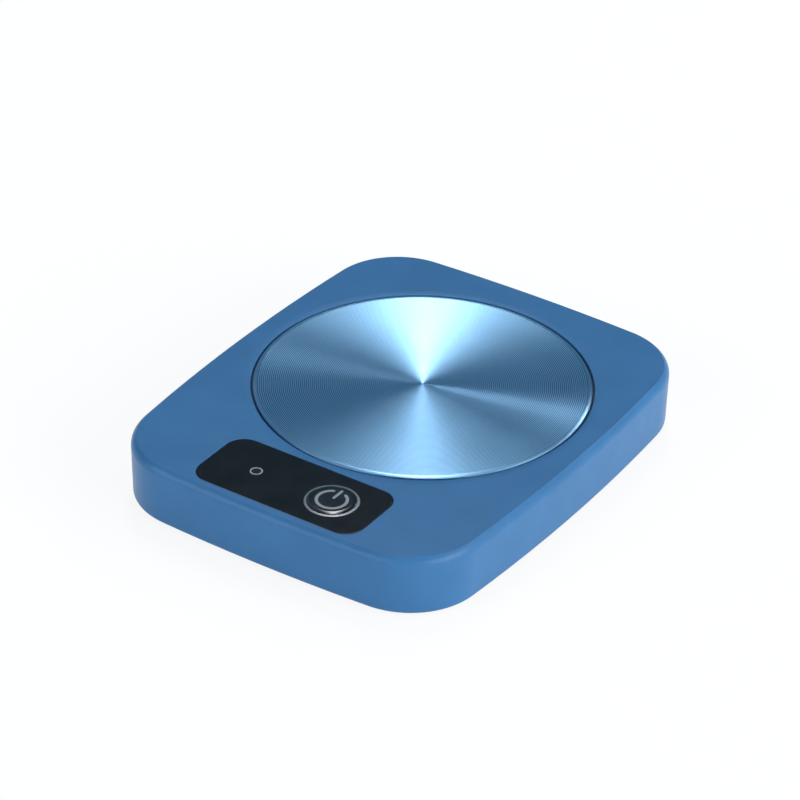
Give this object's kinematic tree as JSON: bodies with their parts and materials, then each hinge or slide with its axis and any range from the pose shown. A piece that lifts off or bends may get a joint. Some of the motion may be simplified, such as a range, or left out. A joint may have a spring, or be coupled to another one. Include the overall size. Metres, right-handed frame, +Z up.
{
  "type": "electric mug warmer",
  "caption": "Flat pillow-shaped mug warmer with a round heating plate, a glossy control panel with a push button, rubber feet and a rear power socket.",
  "frame": {"origin": "on the surface that the feet stand on, below the centre of the case's outline", "axes": "+Z up, -Y the front edge with the control panel, +X to the right seen from the front"},
  "size_m": [0.1098, 0.134, 0.0189],
  "materials": {
    "case_blue": "satin, fine spark texture",
    "plate_blue": "turned and anodised, fine concentric rings",
    "panel_black": "gloss",
    "button_black": "satin gloss",
    "bright_trim": "bright plated",
    "symbol_silver": "satin silver",
    "lens_smoke": "smoked, translucent",
    "base_blue": "fine texture",
    "foot_rubber": "matte",
    "seal_silicone": "matte",
    "zinc_steel": "zinc plated",
    "pressed_steel": "rolled sheet",
    "mica_sheet": "laminated mica",
    "ceramic_fibre": "felted",
    "adhesive_film": "matte",
    "board_green": "solder resist",
    "black_moulding": "moulded",
    "white_nylon": "moulded",
    "tinned_metal": "tinned",
    "lamp_resin": "clear resin",
    "lead_sleeve": "silicone sleeve",
    "nickel_steel": "nickel plated",
    "capacitor_can": "drawn can"
  },
  "bodies": {
    "case": {"top_cover": "case_blue", "bottom_cover": "base_blue", "rubber_feet": "foot_rubber", "case_screws": "zinc_steel", "heating_plate": "plate_blue", "plate_seal": "seal_silicone", "heater_element": "mica_sheet", "insulation_pad": "ceramic_fibre", "clamp_plate": "pressed_steel", "clamp_screws": "zinc_steel", "thermal_cutout": "nickel_steel", "cutout_clip": "pressed_steel", "temperature_sensor": "tinned_metal", "sensor_screw": "zinc_steel", "control_panel": "panel_black", "panel_adhesive": "adhesive_film", "button_ring": "bright_trim", "indicator_ring": "bright_trim", "indicator_lens": "lens_smoke", "indicator_led": "lamp_resin", "control_board": "board_green", "board_screws": "zinc_steel", "switch_base": "black_moulding", "switch_terminals": "tinned_metal", "switch_dome": "nickel_steel", "switch_cover": "nickel_steel", "controller_chip": "black_moulding", "power_transistor": "black_moulding", "bulk_capacitor": "capacitor_can", "small_chip_parts": "tinned_metal", "heater_connector": "white_nylon", "sensor_connector": "white_nylon", "power_connector": "white_nylon", "heater_plug": "white_nylon", "sensor_plug": "white_nylon", "power_plug": "white_nylon", "heater_leads": "lead_sleeve", "sensor_leads": "lead_sleeve", "power_leads": "lead_sleeve", "power_socket_shell": "nickel_steel", "power_socket_tongue": "black_moulding", "socket_board": "board_green", "socket_screws": "zinc_steel"},
    "button": {"power_button": "button_black", "power_symbol": "symbol_silver"},
    "plunger": {"switch_plunger": "black_moulding"}
  },
  "joints": [
    {"name": "button_press", "type": "slide", "parent": "case", "child": "button", "axis": [0, 0, -1], "range_m": [0, 0.0004], "stiffness_N_per_m": 1500},
    {"name": "plunger_press", "type": "slide", "parent": "case", "child": "plunger", "axis": [0, 0, -1], "range_m": [0, 0.0004], "deforming": ["switch_dome"]}
  ],
  "couplings": [
    {"joint": "plunger_press", "follows": "button_press", "ratio": 1}
  ]
}
